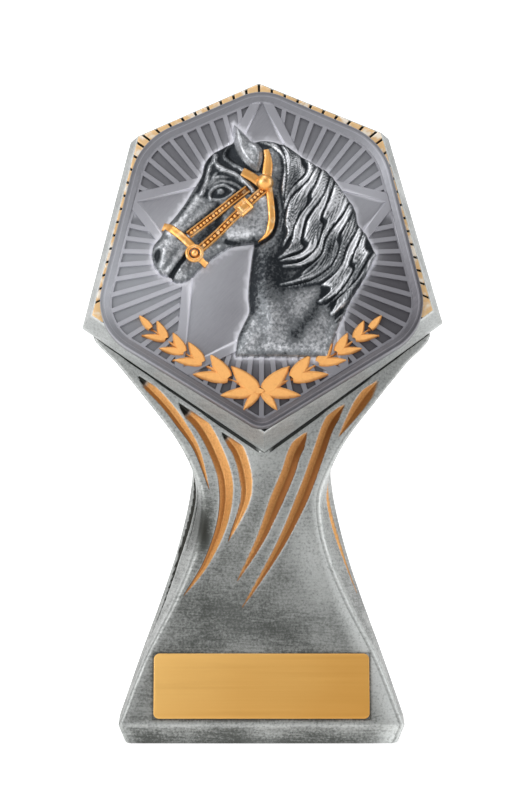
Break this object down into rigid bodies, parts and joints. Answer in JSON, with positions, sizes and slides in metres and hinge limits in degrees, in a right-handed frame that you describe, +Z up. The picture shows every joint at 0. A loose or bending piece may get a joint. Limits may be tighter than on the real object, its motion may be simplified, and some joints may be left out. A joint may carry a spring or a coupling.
{
  "type": "horse trophy",
  "caption": "Free-standing resin award: flared plinth, waisted body with carved slashes, leaning six-sided head with a horse relief and a blank engraving plate.",
  "frame": {"origin": "on the ground, under the middle of the foot's width and depth", "axes": "+Z up from the sole to the head's apex; the relief and the engraving plate face -Y; +X to the viewer's right"},
  "size_m": [0.1044, 0.0601, 0.1899],
  "materials": {
    "antique_silver": "antiqued silver paint on cast resin, gold paint in the carved slashes and on the blocked band",
    "pewter_insert": "dark patinated pewter look with polished high spots",
    "satin_gold": "satin gold sheet, blank"
  },
  "bodies": {
    "root": {"stand": "antique_silver", "insert": "pewter_insert", "engraving_plate": "satin_gold"}
  },
  "joints": []
}
